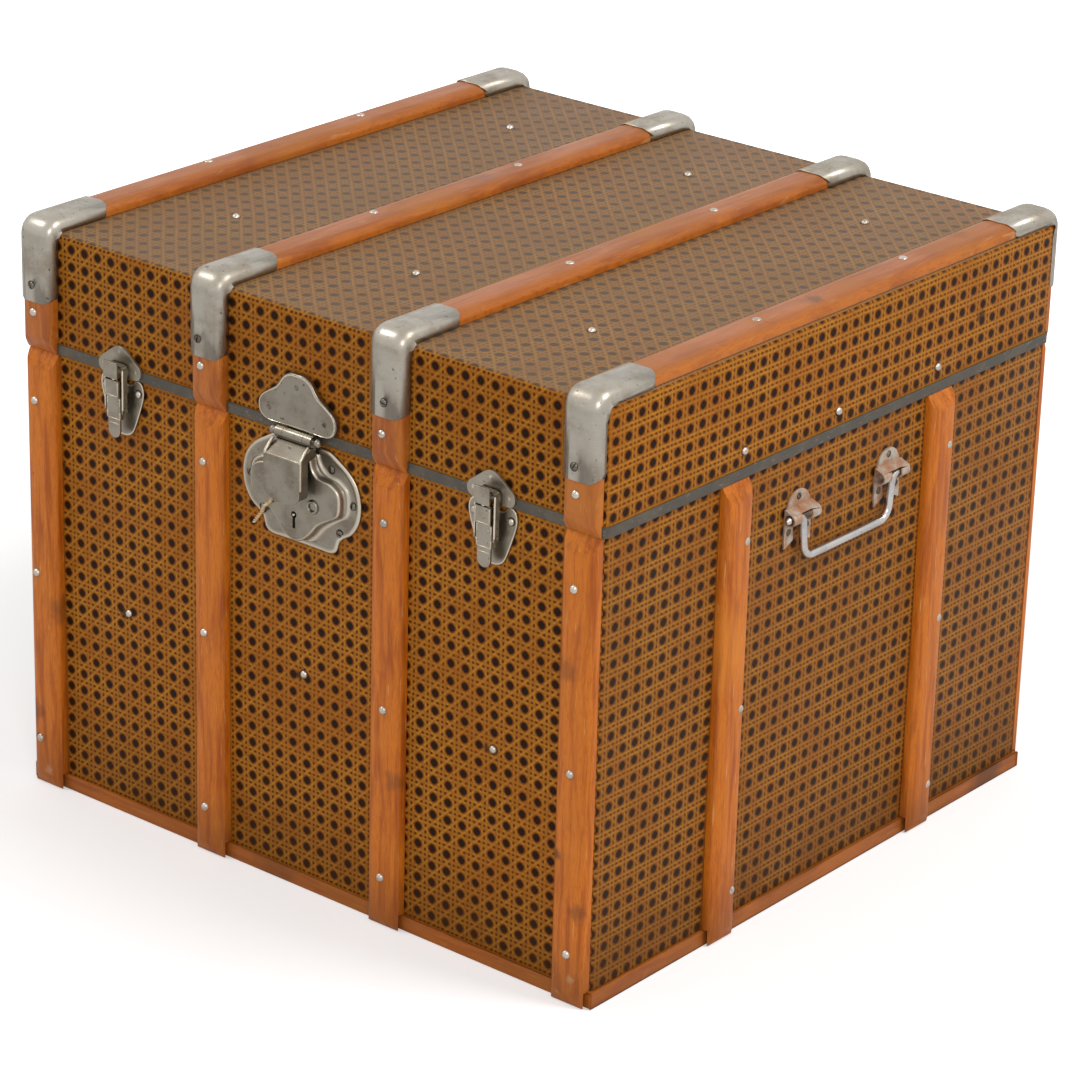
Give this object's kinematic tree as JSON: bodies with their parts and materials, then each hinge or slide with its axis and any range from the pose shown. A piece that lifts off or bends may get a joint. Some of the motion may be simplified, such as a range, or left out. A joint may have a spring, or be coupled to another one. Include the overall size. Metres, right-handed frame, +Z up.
{
  "type": "trunk",
  "caption": "Square travelling trunk in cane-print canvas with wooden slats, capped lid corners, a hasp lock, draw latches, back hinges and drop handles.",
  "frame": {"origin": "bottom centre of the bounding box, on the floor", "axes": "+X along the front towards its right end, -Y towards the front, +Z up"},
  "size_m": [0.5714, 0.5662, 0.4621],
  "materials": {
    "board_wood": "rough",
    "slat_wood": "worn varnish",
    "cane_canvas": "varnished print",
    "dark_band": "worn",
    "cap_metal": "satin",
    "lock_metal": "satin",
    "handle_metal": "polished",
    "bracket_metal": "rusted",
    "twine": "dull"
  },
  "bodies": {
    "body": {"front_board": "board_wood", "back_board": "board_wood", "left_board": "board_wood", "right_board": "board_wood", "bottom_board": "board_wood", "body_canvas": "cane_canvas", "base_rail": "slat_wood", "front_slat_1": "slat_wood", "front_slat_2": "slat_wood", "front_slat_3": "slat_wood", "front_slat_4": "slat_wood", "back_slat_1": "slat_wood", "back_slat_2": "slat_wood", "back_slat_3": "slat_wood", "back_slat_4": "slat_wood", "left_slat_1": "slat_wood", "left_slat_2": "slat_wood", "right_slat_1": "slat_wood", "right_slat_2": "slat_wood", "left_hinge_lower_leaf": "lock_metal", "right_hinge_lower_leaf": "lock_metal", "left_latch_base": "lock_metal", "right_latch_base": "lock_metal", "lock_case": "lock_metal", "left_front_bracket": "bracket_metal", "left_rear_bracket": "bracket_metal", "right_front_bracket": "bracket_metal", "right_rear_bracket": "bracket_metal", "key_twine": "twine"},
    "lid": {"lid_top_board": "board_wood", "lid_front_board": "board_wood", "lid_back_board": "board_wood", "lid_left_board": "board_wood", "lid_right_board": "board_wood", "lid_canvas": "cane_canvas", "lid_band": "dark_band", "lid_slat_1": "slat_wood", "lid_slat_2": "slat_wood", "lid_slat_3": "slat_wood", "lid_slat_4": "slat_wood", "front_cap_1": "cap_metal", "front_cap_2": "cap_metal", "front_cap_3": "cap_metal", "front_cap_4": "cap_metal", "back_cap_1": "cap_metal", "back_cap_2": "cap_metal", "back_cap_3": "cap_metal", "back_cap_4": "cap_metal", "left_hinge_upper_leaf": "lock_metal", "right_hinge_upper_leaf": "lock_metal", "left_latch_keeper": "lock_metal", "right_latch_keeper": "lock_metal", "lock_plate": "lock_metal"},
    "hasp": {"hasp": "lock_metal"},
    "left_lever": {"left_latch_lever": "lock_metal"},
    "right_lever": {"right_latch_lever": "lock_metal"},
    "left_link": {"left_latch_link": "lock_metal"},
    "right_link": {"right_latch_link": "lock_metal"},
    "left_bail": {"left_handle": "handle_metal"},
    "right_bail": {"right_handle": "handle_metal"}
  },
  "joints": [
    {"name": "lid_hinge", "type": "hinge", "parent": "body", "child": "lid", "pos_m": [0, 0.27755, 0.357], "axis": [-1, 0, 0], "range_deg": [0, 100]},
    {"name": "hasp_hinge", "type": "hinge", "parent": "lid", "child": "hasp", "pos_m": [0, -0.26815, 0.3587], "axis": [-1, 0, 0], "range_deg": [0, 110]},
    {"name": "left_lever_pivot", "type": "hinge", "parent": "body", "child": "left_lever", "pos_m": [-0.178, -0.26955, 0.35], "axis": [-1, 0, 0], "range_deg": [0, 85]},
    {"name": "left_link_pivot", "type": "hinge", "parent": "left_lever", "child": "left_link", "pos_m": [-0.178, -0.26855, 0.334], "axis": [-1, 0, 0], "range_deg": [-53.6, 0]},
    {"name": "left_bail_pivot", "type": "hinge", "parent": "body", "child": "left_bail", "pos_m": [-0.2808, 0.01275, 0.31], "axis": [0, 1, 0], "range_deg": [0, 95]},
    {"name": "right_lever_pivot", "type": "hinge", "parent": "body", "child": "right_lever", "pos_m": [0.178, -0.26955, 0.35], "axis": [-1, 0, 0], "range_deg": [0, 85]},
    {"name": "right_link_pivot", "type": "hinge", "parent": "right_lever", "child": "right_link", "pos_m": [0.178, -0.26855, 0.334], "axis": [-1, 0, 0], "range_deg": [-53.6, 0]},
    {"name": "right_bail_pivot", "type": "hinge", "parent": "body", "child": "right_bail", "pos_m": [0.2808, 0.01275, 0.31], "axis": [0, -1, 0], "range_deg": [0, 95]}
  ],
  "couplings": [
    {"joint": "left_link_pivot", "follows": "left_lever_pivot", "ratio": -0.63},
    {"joint": "right_link_pivot", "follows": "right_lever_pivot", "ratio": -0.63}
  ]
}
